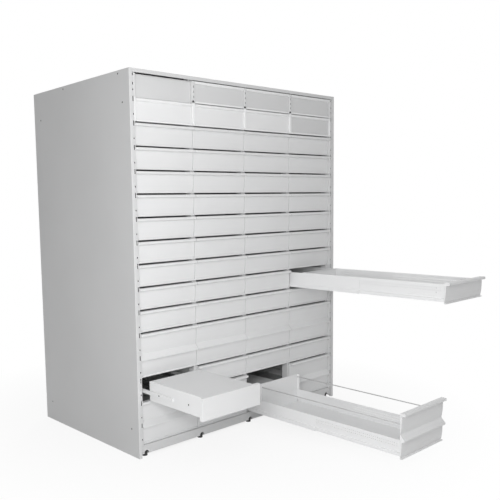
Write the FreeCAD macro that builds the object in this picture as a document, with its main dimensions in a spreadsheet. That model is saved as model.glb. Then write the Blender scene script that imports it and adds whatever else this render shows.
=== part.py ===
import FreeCAD
import Part
import math
import os
import Sketcher

# Prescription cabinet: a metal cabinet of long pull-out drawers, four columns wide and
# sixteen row pitches high, with a worktop and two drawers standing open.
#
# Frame: millimetres, +Z up, origin on the floor in the middle of the footprint, fronts
# towards -Y. The drawer, front and panel pieces are drawn in a cell's own frame: x = 0 on
# the column's centre, y = 0 on the plane of the closed lips and z = 0 on the cell's lower
# pitch line.

V = FreeCAD.Vector
doc = FreeCAD.newDocument("PrescriptionCabinet")
sheet_object = doc.addObject("Spreadsheet::Sheet", "Sizes")

COLUMNS = 4
ROWS = 16

SIZES = [
    # carcass
    ("column_pitch", 413.0, "from one column line to the next"),
    ("row_pitch", 125.0, "height of one row"),
    ("panel_thickness", 20.0, "side panel, outside to inside"),
    ("side_strip", 14.0, "visible front strip of a side post"),
    ("cabinet_depth", 1020.0, "front plane to back"),
    ("top_height", 20.0, "top panel"),
    ("base_height", 65.0, "floor to the lowest pitch line"),
    ("sheet", 1.5, "folded sheet"),
    ("return_lip", 20.0, "inward return of a side panel's flanges"),
    # base and feet
    ("plinth_setback", 15.0, "plinth face behind the front plane"),
    ("plinth_lift", 16.0, "plinth's lower edge above the floor"),
    ("notch_width", 30.0, "arched notch in the plinth"),
    ("notch_rise", 8.0, "straight part of the notch"),
    ("notch_crown", 10.0, "rise of the notch's arch"),
    ("foot_offset", 26.0, "foot beside its column line"),
    ("foot_setback", 18.5, "front foot's axis behind the plinth face"),
    ("beam_width", 80.0, "cross beam over the feet"),
    ("beam_height", 13.5, "cross beam"),
    ("foot_pad_width", 31.0, "foot's pad on the floor, across its facets"),
    ("foot_pad_height", 5.0, "foot's pad"),
    ("foot_flats", 28.0, "foot's hexagonal body, across the flats"),
    ("foot_body_height", 33.0, "foot's hexagonal body"),
    ("foot_stem_flats", 12.0, "foot's stem, across the flats"),
    # posts and rails
    ("post_width", 30.0, "post, across"),
    ("post_depth", 40.0, "post, front to rear"),
    ("post_wall", 2.0, "post wall"),
    ("post_setback", 32.0, "front posts behind the front plane"),
    ("strip_setback", 6.0, "side posts' strip behind the front plane"),
    ("rear_post_setback", 40.0, "rear posts before the back"),
    ("slot_width", 6.0, "slot in a side post's strip"),
    ("slot_height", 26.0, "slot by a pitch line"),
    ("slot_drop", 9.0, "its middle below the pitch line"),
    ("small_slot_height", 8.0, "slot between pitch lines"),
    ("small_slot_lift", 37.0, "small slot above its pitch line"),
    ("upper_slot_height", 12.0, "slots beside the top row"),
    ("upper_slot_head", 57.0, "the lower one's middle below the carcass head"),
    ("upper_slot_pitch", 47.0, "from one to the next"),
    ("rail_lift", 7.0, "rail's underside above the pitch line"),
    ("worktop_rail_lift", 42.0, "the same beside the worktop"),
    ("rail_height", 25.0, "fixed rail"),
    ("rail_reach", 9.0, "fixed rail's lips from the post"),
    ("rail_front", 1.0, "fixed rail's end behind the posts' front"),
    ("rail_tail", 18.5, "fixed rail's end before the back panel"),
    ("play", 0.3, "vertical play between members"),
    ("side_play", 0.5, "sideways play between members"),
    ("carriage_reach", 7.5, "carriage's lips from its web"),
    ("plate_play", 0.3, "carriage's side plate from the fixed rail's lips"),
    ("plate_drop", 3.0, "carriage's side plate below the tray's rim"),
    ("tray_play", 0.7, "tray's wall from the carriage's side plate"),
    ("carriage_front", 5.0, "carriage's end behind the posts' front, closed"),
    ("carriage_tail", 28.5, "carriage's end before the back panel, closed"),
    ("worktop_carriage", 450.0, "length of the worktop's carriage"),
    # drawer fronts
    ("front_gap", 3.0, "between neighbouring fronts"),
    ("front_foot", 3.0, "front's lower edge above the pitch line"),
    ("front_head", 6.0, "front's upper edge below the next pitch line"),
    ("lip_reach", 28.0, "grip lip's edge before the web's foot"),
    ("lip_height", 15.0, "grip lip"),
    ("lip_radius", 6.0, "turn of the lip's upper edge"),
    ("lip_underside", 4.0, "turn of the lip's lower edge"),
    ("grip_root", 6.0, "turn where the lip meets the web"),
    ("web_thickness", 2.0, "web at its foot"),
    ("web_lean", 7.0, "web's head before its foot"),
    ("web_hollow", 3.0, "depth of the web's curve"),
    ("ledge_reach", 10.0, "bottom ledge before the web's foot"),
    ("ledge_height", 5.0, "bottom ledge"),
    ("nose_reach", 24.0, "middle nose of a deep front"),
    ("nose_height", 10.0, "middle nose's blunt edge"),
    ("nose_slope", 27.0, "fall of the middle nose's upper face"),
    ("nose_rise", 7.0, "middle nose's root above the pitch line"),
    # trays
    ("tray_head", 17.0, "tray's rim below the next pitch line"),
    ("deep_wall", 86.0, "side wall of a deep tray"),
    ("deep_rear_head", 55.0, "deep tray's rear wall below the next pitch line"),
    ("rod_drop", 72.0, "side rod below the next pitch line"),
    ("rod_width", 6.0, "side rod"),
    ("hem_height", 9.0, "folded hem along an open tray's rims"),
    ("tail_clearance", 6.0, "tray's rear before the back panel"),
    # worktop
    ("worktop_lift", 9.0, "worktop's lower edge above the pitch line"),
    ("worktop_front", 20.0, "thickness of the worktop's front"),
    ("worktop_front_setback", 10.0, "worktop's front behind the front plane"),
    ("worktop_front_head", 6.0, "worktop's front below the next pitch line"),
    ("worktop_head", 10.0, "worktop's surface below the next pitch line"),
    ("worktop_depth", 433.0, "worktop behind its front"),
    ("worktop_tongue", 200.0, "runners along the rear of the worktop's sides"),
    # fixed front panels
    ("panel_foot", 1.5, "panel's lower edge above the pitch line"),
    ("panel_head", 3.0, "panel's upper edge below the next pitch line"),
    ("blank_setback", 22.0, "plain panel's face behind the front plane"),
    ("rim_setback", 4.0, "rimmed panel's rims behind the front plane"),
    ("rim_recess", 10.0, "rimmed panel's face behind its rims"),
    ("upper_rim", 14.0, "rimmed panel's upper rim"),
    ("lower_rim", 10.0, "rimmed panel's lower rim"),
    ("cover_width", 17.0, "cover strip over a post between the panels"),
    ("cover_gap", 2.5, "panel's end from the cover strip"),
    ("cover_slot_width", 4.0, "slot in a cover strip"),
    ("cover_slot_height", 12.0, "the same, upright"),
    ("cover_slot_pitch", 28.0, "from one slot to the next"),
    ("cover_slot_head", 34.0, "uppermost slot's middle below the carcass head"),
    # how far the open pieces are pulled out
    ("drawer_travel", 1080.0, "open drawers"),
    ("worktop_travel", 490.0, "open worktop"),
]


class Size:
    """A length with its number and the sheet expression that it comes from."""

    def __init__(self, value, text):
        self.value = value
        self.text = text

    def join(self, other, sign, result):
        other = as_size(other)
        return Size(result, "(%s %s %s)" % (self.text, sign, other.text))

    def __add__(self, other):
        return self.join(other, "+", self.value + as_size(other).value)

    def __sub__(self, other):
        return self.join(other, "-", self.value - as_size(other).value)

    def __mul__(self, other):
        return self.join(other, "*", self.value * as_size(other).value)

    def __truediv__(self, other):
        return self.join(other, "/", self.value / as_size(other).value)

    def __neg__(self):
        return Size(-self.value, "(-1 * %s)" % self.text)


def as_size(number):
    if isinstance(number, Size):
        return number
    return Size(float(number), repr(float(number)))


class Sizes:
    pass


S = Sizes()
for line, (alias, number, meaning) in enumerate(SIZES, start=1):
    sheet_object.set("A%d" % line, meaning)
    sheet_object.set("B%d" % line, repr(number))
    sheet_object.setAlias("B%d" % line, alias)
    setattr(S, alias, Size(number, "Sizes." + alias))
doc.recompute()

# Lines that more than one piece is drawn to.
ROW = S.row_pitch
COL = S.column_pitch
INNER_WIDTH = COL * COLUMNS + S.side_strip * 2
WIDTH = INNER_WIDTH + S.panel_thickness * 2
CARCASS_HEAD = S.base_height + ROW * ROWS
HEIGHT = CARCASS_HEAD + S.top_height
DEPTH = S.cabinet_depth
BACK_FACE = DEPTH - S.sheet
FRONT_WIDTH = COL - S.front_gap
FRONT_REAR = S.lip_reach + S.web_thickness
POST_HALF = S.post_width / 2
PLATE_SIDE = COL / 2 - POST_HALF - S.rail_reach - S.plate_play
TRAY_HALF = PLATE_SIDE - S.sheet - S.tray_play
TRAY_REAR = BACK_FACE - S.tail_clearance
TRAY_RIM = ROW - S.tray_head
TRAY_LIFT = S.rail_lift + S.sheet + S.play
DEEP_RIM = TRAY_LIFT + S.deep_wall
RAIL_START = S.post_setback + S.rail_front
RAIL_LENGTH = BACK_FACE - S.rail_tail - RAIL_START
CARRIAGE_START = S.post_setback + S.carriage_front
CARRIAGE_LENGTH = BACK_FACE - S.carriage_tail - CARRIAGE_START
CARRIAGE_STEP = S.sheet + S.play
CARRIAGE_HEIGHT = S.rail_height - S.sheet * 2 - S.play * 2
CARRIAGE_SIDE = COL / 2 - POST_HALF - S.sheet - S.side_play
TONGUE_SIDE = CARRIAGE_SIDE - S.sheet - S.side_play
TONGUE_STEP = CARRIAGE_STEP * 2
TONGUE_HEIGHT = CARRIAGE_HEIGHT - S.sheet * 2 - S.play * 2


def bind(thing, path, size):
    """Set a property from a size and keep it tied to the sheet."""
    size = as_size(size)
    if "." not in path:
        setattr(thing, path, size.value)
    thing.setExpression(path, size.text)


def plane(body, role):
    return [item for item in body.Origin.OriginFeatures if item.Role == role][0]


def new_body(name):
    return doc.addObject("PartDesign::Body", name)


def lowest_radius(start, end, hollow):
    """Radius of the arc between two points that is hollow deep at its middle."""
    dx = end[0] - start[0]
    dy = end[1] - start[1]
    return (dx * dx + dy * dy) / (hollow * 8) + hollow / 2


def new_sketch(body, name, role, offset):
    """An empty sketch on a base plane, moved by offset along X, Y or Z."""
    sketch = body.newObject("Sketcher::SketchObject", name)
    sketch.AttachmentSupport = [(plane(body, role), "")]
    sketch.MapMode = "FlatFace"
    offset = as_size(offset)
    if role == "XZ_Plane":
        offset = -offset
    sketch.AttachmentOffset = FreeCAD.Placement(V(0, 0, offset.value), FreeCAD.Rotation())
    sketch.setExpression("AttachmentOffset.Base.z", offset.text)
    return sketch


def outline(body, name, role, points, offset=0.0, arcs=None):
    """A closed sketch through points; arcs maps an edge to the depth it bows to its right."""
    arcs = arcs or {}
    points = [(as_size(p[0]), as_size(p[1])) for p in points]
    sketch = new_sketch(body, name, role, offset)
    count = len(points)
    ends = []
    for i, start in enumerate(points):
        end = points[(i + 1) % count]
        a = V(start[0].value, start[1].value, 0)
        b = V(end[0].value, end[1].value, 0)
        if i in arcs:
            depth = arcs[i]
            along = (b - a).normalize()
            middle = (a + b) * 0.5 + V(along.y, -along.x, 0) * depth.value
            geometry = Part.Arc(a, middle, b)
        else:
            geometry = Part.LineSegment(a, b)
        sketch.addGeometry(geometry, False)
        ends.append((1, 2))
    for i in range(count):
        following = (i + 1) % count
        sketch.addConstraint(Sketcher.Constraint("Coincident", i, 2, following, 1))
    for i, point in enumerate(points):
        for kind, size in (("DistanceX", point[0]), ("DistanceY", point[1])):
            limit = Sketcher.Constraint(kind, -1, 1, i, 1, size.value)
            number = sketch.addConstraint(limit)
            sketch.setExpression("Constraints[%d]" % number, size.text)
    for i, depth in arcs.items():
        radius = lowest_radius(points[i], points[(i + 1) % count], depth)
        number = sketch.addConstraint(Sketcher.Constraint("Radius", i, radius.value))
        sketch.setExpression("Constraints[%d]" % number, radius.text)
    return sketch


def pad(body, name, sketch, length, reverse=False):
    feature = body.newObject("PartDesign::Pad", name)
    feature.Profile = sketch
    bind(feature, "Length", length)
    feature.Reversed = reverse
    return feature


def pocket(body, name, sketch, length, reverse=False):
    feature = body.newObject("PartDesign::Pocket", name)
    feature.Profile = sketch
    bind(feature, "Length", length)
    feature.Reversed = reverse
    return feature


def box_points(left, bottom, right, top):
    return [(left, bottom), (right, bottom), (right, top), (left, top)]


def flat_sided(sides, across, up, flats):
    """Corners of a regular bar's section about (across, up), a flat facing each way."""
    corners = []
    for k in range(sides):
        turn = 2 * math.pi * (k + 0.5) / sides
        reach = 0.5 / math.cos(math.pi / sides)
        x = as_size(flats) * round(reach * math.cos(turn), 9)
        y = as_size(flats) * round(reach * math.sin(turn), 9)
        corners.append((as_size(across) + x, as_size(up) + y))
    return corners


def disc(body, name, role, across, up, radius, offset=0.0):
    """A round sketch about (across, up)."""
    sketch = new_sketch(body, name, role, offset)
    centre = V(across.value, up.value, 0)
    sketch.addGeometry(Part.Circle(centre, V(0, 0, 1), radius.value), False)
    for kind, size in (("DistanceX", across), ("DistanceY", up)):
        number = sketch.addConstraint(Sketcher.Constraint(kind, -1, 1, 0, 3, size.value))
        sketch.setExpression("Constraints[%d]" % number, size.text)
    number = sketch.addConstraint(Sketcher.Constraint("Radius", 0, radius.value))
    sketch.setExpression("Constraints[%d]" % number, radius.text)
    return sketch


def edges_along_x(shape, places):
    """Names of the straight edges along X that run through the given (y, z) places."""
    names = []
    for number, edge in enumerate(shape.Edges, start=1):
        first = edge.Vertexes[0].Point
        last = edge.Vertexes[-1].Point
        if abs(first.y - last.y) > 1e-6 or abs(first.z - last.z) > 1e-6:
            continue
        for y, z in places:
            if abs(first.y - y) < 1e-4 and abs(first.z - z) < 1e-4:
                names.append("Edge%d" % number)
    return names


def along_x(body, name, kind, base, places, size):
    """Dress the edges along X at the given places with a Fillet or a Chamfer."""
    doc.recompute()
    names = edges_along_x(base.Shape, places)
    feature = body.newObject("PartDesign::" + kind, name)
    feature.Base = (base, names)
    bind(feature, "Radius" if kind == "Fillet" else "Size", size)
    return feature


# Drawer fronts: one extruded profile, drawn end-on.

def lip_points(head):
    """Rear head, lip and the web's head, down the front of the profile."""
    return [
        (FRONT_REAR, head),
        (0, head),
        (0, head - S.lip_height),
        (S.lip_reach - S.web_lean, head - S.lip_height),
    ]


def ledge_points(foot):
    return [
        (S.lip_reach, foot + S.ledge_height),
        (S.lip_reach - S.ledge_reach, foot + S.ledge_height),
        (S.lip_reach - S.ledge_reach, foot),
        (FRONT_REAR, foot),
    ]


def place(point):
    return (as_size(point[0]).value, as_size(point[1]).value)


def make_front(name, head, nose=None, turned="Chamfer"):
    """A grip lip, a hollow web and a ledge; turned says how the lip's edges are made."""
    body = new_body(name)
    foot = S.front_foot
    upper = lip_points(head)
    lower = ledge_points(foot)
    arcs = {3: S.web_hollow}
    middle = []
    if nose is not None:
        tip = S.lip_reach - S.nose_reach
        root = nose + S.nose_rise
        middle = [
            (S.lip_reach, root),
            (tip, root - S.nose_slope),
            (tip, root - S.nose_slope - S.nose_height),
            (S.lip_reach - S.web_lean, root - S.nose_slope - S.nose_height),
        ]
        arcs[7] = S.web_hollow
    points = upper + middle + lower
    section = outline(body, name + "_profile", "YZ_Plane", points, -FRONT_WIDTH / 2, arcs)
    bar = pad(body, name + "_bar", section, FRONT_WIDTH)
    tip = along_x(body, name + "_lip", turned, bar, [place(upper[1])], S.lip_radius)
    drops = [place(upper[2])]
    tip = along_x(body, name + "_drop", turned, tip, drops, S.lip_underside)
    roots = [place(upper[3])]
    if middle:
        roots.append(place(middle[3]))
    body.Tip = along_x(body, name + "_grip", turned, tip, roots, S.grip_root)
    return body


# Trays: a folded box whose sides widen at the foot to run in the rail or the carriage.

def tray_section(half, broad, low, high, head, hem=None):
    """A tray from the front; hem is the level above which its walls are doubled."""
    right = [(broad, low), (broad, high), (half, high)]
    if hem is not None:
        right.append((half, hem))
        half = half - S.sheet
        right.append((half, hem))
    right.append((half, head))
    return right + [(-x, z) for x, z in reversed(right)]


def make_tray(name, rim, foot_side, step, foot_height, rear_rim=None, hemmed=False):
    body = new_body(name)
    side = TRAY_HALF
    floor = S.rail_lift + step
    high = floor + foot_height
    wall = S.sheet
    length = TRAY_REAR - FRONT_REAR
    hem = rim - S.hem_height if hemmed else None
    outer = tray_section(side, foot_side, floor, high, rim)
    inner = tray_section(side - wall, foot_side - wall, floor + wall, high - wall, rim + wall, hem)
    shell = outline(body, name + "_section", "XZ_Plane", outer, FRONT_REAR)
    tip = pad(body, name + "_shell", shell, length, True)
    room = outline(body, name + "_room_section", "XZ_Plane", inner, FRONT_REAR + wall)
    tip = pocket(body, name + "_room", room, length - wall * 2)
    if rear_rim is not None:
        points = box_points(-side, rim, side, rear_rim)
        tall = outline(body, name + "_rear_section", "XZ_Plane", points, TRAY_REAR - wall)
        tip = pad(body, name + "_rear", tall, wall, True)
    body.Tip = tip
    return body


def make_member(name, side, foot, height, reach, start, length, rim=None):
    """A C-shaped rail or carriage, open towards the column's centre, on the right side.

    With a rim, its upper lip turns up into a plate beside the tray.
    """
    body = new_body(name)
    wall = S.sheet
    head = foot + height
    upper = [(side - reach, head), (side - reach, head - wall)]
    if rim is not None:
        inside = PLATE_SIDE - wall
        upper = [(PLATE_SIDE, head), (PLATE_SIDE, rim), (inside, rim), (inside, head - wall)]
    points = [(side, foot), (side, head)] + upper
    points += [
        (side - wall, head - wall),
        (side - wall, foot + wall),
        (side - reach, foot + wall),
        (side - reach, foot),
    ]
    section = outline(body, name + "_section", "XZ_Plane", points, start)
    body.Tip = pad(body, name + "_bar", section, length, True)
    return body


def make_rod(name, sides=None):
    """Side rod of a deep tray: round, or with flat sides where it repeats unseen."""
    body = new_body(name)
    across = TRAY_HALF - S.sheet / 2 - S.rod_width / 2
    up = ROW * 2 - S.rod_drop
    if sides:
        corners = flat_sided(sides, across, up, S.rod_width)
        section = outline(body, name + "_section", "XZ_Plane", corners, FRONT_REAR)
    else:
        radius = S.rod_width / 2
        section = disc(body, name + "_section", "XZ_Plane", across, up, radius, FRONT_REAR)
    length = TRAY_REAR - S.sheet - FRONT_REAR
    body.Tip = pad(body, name + "_bar", section, length, True)
    return body


def mirrored(name, source):
    """The same piece on the other side of the column."""
    feature = doc.addObject("Part::Mirroring", name)
    feature.Source = source
    feature.Base = V(0, 0, 0)
    feature.Normal = V(1, 0, 0)
    return feature


RUNNER = (CARRIAGE_SIDE, CARRIAGE_STEP, CARRIAGE_HEIGHT)
TONGUE = (TONGUE_SIDE, TONGUE_STEP, TONGUE_HEIGHT)
DEEP_REAR_RIM = ROW * 2 - S.deep_rear_head

front = make_front("front", ROW - S.front_head)
deep_front = make_front("deep_front", ROW * 2 - S.front_head, ROW)
open_front = make_front("open_front", ROW - S.front_head, turned="Fillet")
open_deep_front = make_front("open_deep_front", ROW * 2 - S.front_head, ROW, "Fillet")
tray = make_tray("tray", TRAY_RIM, *RUNNER)
deep_tray = make_tray("deep_tray", DEEP_RIM, *RUNNER, rear_rim=DEEP_REAR_RIM)
open_tray = make_tray("open_tray", TRAY_RIM, *TONGUE, hemmed=True)
open_deep_tray = make_tray("open_deep_tray", DEEP_RIM, *TONGUE, DEEP_REAR_RIM, True)
rod = make_rod("rod", 8)
rod_twin = mirrored("rod_twin", rod)
open_rod = make_rod("open_rod")
open_rod_twin = mirrored("open_rod_twin", open_rod)


def make_rail(name, lift):
    side = COL / 2 - POST_HALF
    return make_member(name, side, lift, S.rail_height, S.rail_reach, RAIL_START, RAIL_LENGTH)


def make_carriage(name, lift, length, rim=None):
    foot = lift + CARRIAGE_STEP
    size = [CARRIAGE_SIDE, foot, CARRIAGE_HEIGHT, S.carriage_reach]
    return make_member(name, *size, CARRIAGE_START, length, rim)


rail = make_rail("rail", S.rail_lift)
rail_twin = mirrored("rail_twin", rail)
worktop_rail = make_rail("worktop_rail", S.worktop_rail_lift)
worktop_rail_twin = mirrored("worktop_rail_twin", worktop_rail)
long_plate = TRAY_RIM - S.plate_drop
deep_plate = DEEP_RIM - S.plate_drop
carriage = make_carriage("carriage", S.rail_lift, CARRIAGE_LENGTH, long_plate)
carriage_twin = mirrored("carriage_twin", carriage)
deep_carriage = make_carriage("deep_carriage", S.rail_lift, CARRIAGE_LENGTH, deep_plate)
deep_carriage_twin = mirrored("deep_carriage_twin", deep_carriage)
short_carriage = make_carriage("short_carriage", S.worktop_rail_lift, S.worktop_carriage)
short_carriage_twin = mirrored("short_carriage_twin", short_carriage)


# Worktop: a folded pan, open below, with a plain front board.

def make_worktop():
    body = new_body("worktop_pan")
    side = TRAY_HALF
    head = ROW - S.worktop_head
    wall = S.sheet
    start = S.worktop_front_setback + S.worktop_front
    tongue_start = start + S.worktop_depth - S.worktop_tongue
    low = S.worktop_rail_lift + TONGUE_STEP
    high = low + TONGUE_HEIGHT
    points = box_points(-side, S.worktop_lift, side, head)
    shell = outline(body, "worktop_section", "XZ_Plane", points, start)
    pad(body, "worktop_shell", shell, S.worktop_depth, True)
    below = box_points(wall - side, S.worktop_lift - wall, side - wall, head - wall)
    room = outline(body, "worktop_room_section", "XZ_Plane", below, start + wall)
    pocket(body, "worktop_room", room, S.worktop_depth - wall * 2)
    spans = [("worktop_left", -TONGUE_SIDE, wall - side), ("worktop_right", side - wall, TONGUE_SIDE)]
    for name, left, right in spans:
        points = box_points(left, low, right, high)
        section = outline(body, name + "_section", "XZ_Plane", points, tongue_start)
        body.Tip = pad(body, name + "_tongue", section, S.worktop_tongue, True)
    return body


def make_worktop_front():
    body = new_body("worktop_board")
    half = FRONT_WIDTH / 2
    points = box_points(-half, S.front_foot, half, ROW - S.worktop_front_head)
    face = outline(body, "worktop_board_face", "XZ_Plane", points, S.worktop_front_setback)
    body.Tip = pad(body, "worktop_board_body", face, S.worktop_front, True)
    return body


worktop = make_worktop()
worktop_board = make_worktop_front()


# Fixed panels of the two upper rows: pans whose flanges stand on the posts.

def make_panel(name, setback, recess=None):
    """A pan; recess sinks its face between its upper and lower rims."""
    body = new_body(name)
    half = COL / 2 - S.cover_width / 2 - S.cover_gap
    low = S.panel_foot
    high = ROW - S.panel_head
    wall = S.sheet
    face = outline(body, name + "_face", "XZ_Plane", box_points(-half, low, half, high), setback)
    pad(body, name + "_block", face, S.post_setback - setback, True)
    skin = setback
    if recess is not None:
        points = box_points(-half, low + S.lower_rim, half, high - S.upper_rim)
        window = outline(body, name + "_window_face", "XZ_Plane", points, setback)
        pocket(body, name + "_window", window, recess)
        skin = setback + recess
    points = box_points(wall - half, low + wall, half - wall, high - wall)
    rear = outline(body, name + "_rear_face", "XZ_Plane", points, skin + wall)
    body.Tip = pocket(body, name + "_rear", rear, S.post_setback - skin - wall)
    return body


blank_panel = make_panel("blank_panel", S.blank_setback)
rimmed_panel = make_panel("rimmed_panel", S.rim_setback, S.rim_recess)


# Cover strips: channels that stand on the posts between the panels, drawn at their level.

def make_cover(name, width, slots=0):
    body = new_body(name)
    half = width / 2
    wall = S.sheet
    face = S.rim_setback
    rear = S.post_setback
    low = CARCASS_HEAD - ROW * 2 + S.panel_foot
    high = CARCASS_HEAD - S.panel_head
    points = [
        (-half, face),
        (half, face),
        (half, rear),
        (half - wall, rear),
        (half - wall, face + wall),
        (wall - half, face + wall),
        (wall - half, rear),
        (-half, rear),
    ]
    section = outline(body, name + "_section", "XY_Plane", points, low)
    body.Tip = pad(body, name + "_channel", section, high - low)
    side = S.cover_slot_width / 2
    reach = S.cover_slot_height / 2
    for number in range(slots):
        level = CARCASS_HEAD - S.cover_slot_head - S.cover_slot_pitch * number
        points = box_points(-side, level - reach, side, level + reach)
        slot = name + "_slot_%d" % number
        mouth = outline(body, slot + "_face", "XZ_Plane", points, face - wall)
        body.Tip = pocket(body, slot, mouth, wall * 3)
    return body


cover = make_cover("cover", S.cover_width, 3)
side_cover = make_cover("side_cover", S.cover_width / 2)


# Carcass, drawn in place: x = 0 in the middle, y = 0 on the front plane.

def make_side_panel():
    """Right side panel: a pan whose flanges have inward returns."""
    body = new_body("side_pan")
    wall = S.sheet
    out = WIDTH / 2
    mouth = out - S.panel_thickness
    lip = S.return_lip
    points = [
        (out, 0),
        (out, DEPTH),
        (mouth, DEPTH),
        (mouth, DEPTH - lip),
        (mouth + wall, DEPTH - lip),
        (mouth + wall, DEPTH - wall),
        (out - wall, DEPTH - wall),
        (out - wall, wall),
        (mouth + wall, wall),
        (mouth + wall, lip),
        (mouth, lip),
        (mouth, 0),
    ]
    section = outline(body, "side_section", "XY_Plane", points)
    pad(body, "side_wall", section, HEIGHT)
    plate = box_points(mouth, wall, out - wall, DEPTH - wall)
    low = outline(body, "side_foot_section", "XY_Plane", plate)
    pad(body, "side_foot", low, wall)
    high = outline(body, "side_head_section", "XY_Plane", plate, HEIGHT - wall)
    body.Tip = pad(body, "side_head", high, wall)
    return body


def make_top_panel():
    body = new_body("top_pan")
    wall = S.sheet
    low = CARCASS_HEAD
    points = [
        (0, low),
        (wall, low),
        (wall, HEIGHT - wall),
        (DEPTH - wall, HEIGHT - wall),
        (DEPTH - wall, low),
        (DEPTH, low),
        (DEPTH, HEIGHT),
        (0, HEIGHT),
    ]
    section = outline(body, "top_section", "YZ_Plane", points, -INNER_WIDTH / 2)
    body.Tip = pad(body, "top_bar", section, INNER_WIDTH)
    return body


def make_base_pan():
    """Floor of the carcass with the plinth folded down at the front, notched for the feet."""
    body = new_body("base_pan")
    wall = S.sheet
    low = S.plinth_lift
    high = S.base_height
    front_face = S.plinth_setback
    points = [
        (front_face, low),
        (front_face + wall, low),
        (front_face + wall, high - wall),
        (BACK_FACE - wall, high - wall),
        (BACK_FACE - wall, low),
        (BACK_FACE, low),
        (BACK_FACE, high),
        (front_face, high),
    ]
    section = outline(body, "base_section", "YZ_Plane", points, -INNER_WIDTH / 2)
    tip = pad(body, "base_bar", section, INNER_WIDTH)
    half = S.notch_width / 2
    spring = low + S.notch_rise
    for line in range(COLUMNS + 1):
        centre = foot_line(line)
        points = [
            (centre - half, low - wall),
            (centre + half, low - wall),
            (centre + half, spring),
            (centre - half, spring),
        ]
        name = "notch_%d" % line
        arch = outline(body, name + "_face", "XZ_Plane", points, front_face, {2: S.notch_crown})
        tip = pocket(body, name, arch, wall * 2)
    body.Tip = tip
    return body


def column_line(line):
    return COL * line - COL * COLUMNS / 2


def foot_line(line):
    """Feet stand beside their column line, on the side of the cabinet's middle."""
    if line * 2 > COLUMNS:
        return column_line(line) - S.foot_offset
    return column_line(line) + S.foot_offset


def make_beam():
    """Cross beam over a row of feet, a flat tube from front to rear."""
    body = new_body("beam")
    half = S.beam_width / 2
    head = S.base_height - S.sheet
    foot = head - S.beam_height
    start = S.plinth_setback + S.sheet * 2
    length = BACK_FACE - S.sheet * 2 - start
    section = outline(body, "beam_section", "XZ_Plane", box_points(-half, foot, half, head), start)
    pad(body, "beam_bar", section, length, True)
    wall = S.post_wall
    points = box_points(wall - half, foot + wall, half - wall, head - wall)
    bore = outline(body, "beam_bore_section", "XZ_Plane", points, start)
    body.Tip = pocket(body, "beam_bore", bore, length)
    return body


def make_foot():
    """Levelling foot: a faceted pad, a hexagonal body and a stem under the beam."""
    body = new_body("foot")
    head = S.base_height - S.sheet - S.beam_height
    shoulder = S.foot_pad_height + S.foot_body_height
    steps = [
        ("foot_pad", 12, S.foot_pad_width, as_size(0), S.foot_pad_height),
        ("foot_body", 6, S.foot_flats, S.foot_pad_height, S.foot_body_height),
        ("foot_stem", 6, S.foot_stem_flats, shoulder, head - shoulder),
    ]
    for name, sides, width, low, height in steps:
        corners = flat_sided(sides, 0, 0, width)
        section = outline(body, name + "_section", "XY_Plane", corners, low)
        body.Tip = pad(body, name, section, height)
    return body


def hollow_post(name, outer, inner):
    body = new_body(name)
    length = HEIGHT - S.sheet - S.base_height
    section = outline(body, name + "_section", "XY_Plane", outer, S.base_height)
    pad(body, name + "_bar", section, length)
    bore = outline(body, name + "_bore_section", "XY_Plane", inner, S.base_height)
    body.Tip = pocket(body, name + "_bore", bore, length, True)
    return body


def make_post():
    wall = S.post_wall
    half = POST_HALF
    depth = S.post_depth
    outer = box_points(-half, 0, half, depth)
    inner = box_points(wall - half, wall, half - wall, depth - wall)
    return hollow_post("post", outer, inner)


def make_side_post():
    """Right front post: the same tube, widened to the side panel and to the front strip."""
    wall = S.post_wall
    mouth = INNER_WIDTH / 2
    strip = mouth - S.side_strip
    inward = strip - POST_HALF
    front_face = S.strip_setback
    step = S.post_setback
    rear = S.post_setback + S.post_depth
    outer = [
        (mouth, front_face),
        (mouth, rear),
        (inward, rear),
        (inward, step),
        (strip, step),
        (strip, front_face),
    ]
    inner = [
        (mouth - wall, front_face + wall),
        (mouth - wall, rear - wall),
        (inward + wall, rear - wall),
        (inward + wall, step + wall),
        (strip + wall, step + wall),
        (strip + wall, front_face + wall),
    ]
    body = hollow_post("side_post", outer, inner)
    centre = mouth - S.side_strip / 2
    half = S.slot_width / 2
    low_slot = S.base_height + ROW - S.slot_drop
    low_small = S.base_height + S.small_slot_lift
    low_upper = CARCASS_HEAD - S.upper_slot_head
    rows = [
        ("slot", low_slot, S.slot_height, ROWS - 1, ROW),
        ("small_slot", low_small, S.small_slot_height, ROWS, ROW),
        ("upper_slot", low_upper, S.upper_slot_height, 2, S.upper_slot_pitch),
    ]
    for name, level, height, count, pitch in rows:
        reach = height / 2
        points = box_points(centre - half, level - reach, centre + half, level + reach)
        face = outline(body, name + "_face", "XZ_Plane", points, front_face - wall)
        first = pocket(body, name, face, wall * 2 + wall / 2)
        doc.recompute()
        rows_up = body.newObject("PartDesign::LinearPattern", name + "_rows")
        rows_up.Originals = [first]
        rows_up.Direction = (face, ["V_Axis"])
        rows_up.Occurrences = count
        bind(rows_up, "Length", pitch * (count - 1))
        body.Tip = rows_up
    return body


def make_side_rear_post():
    """Right rear post, widened to the side panel."""
    wall = S.post_wall
    mouth = INNER_WIDTH / 2
    inward = mouth - S.side_strip - POST_HALF
    depth = S.post_depth
    outer = box_points(inward, 0, mouth, depth)
    inner = box_points(inward + wall, wall, mouth - wall, depth - wall)
    return hollow_post("side_rear_post", outer, inner)


side_pan = make_side_panel()
top_pan = make_top_panel()
base_pan = make_base_pan()
beam = make_beam()
foot = make_foot()
post = make_post()
side_post = make_side_post()
side_rear_post = make_side_rear_post()
doc.recompute()


# Nodes. A drawer's node carries its pieces in the cell's frame and is placed in its cell.

nodes = []


def cell_origin(column, low_row):
    """Column 1 is on the left and row 1 at the top."""
    x = COL * (column - 0.5) - COL * COLUMNS / 2
    z = S.base_height + ROW * (ROWS - low_row)
    return x, z


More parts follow.
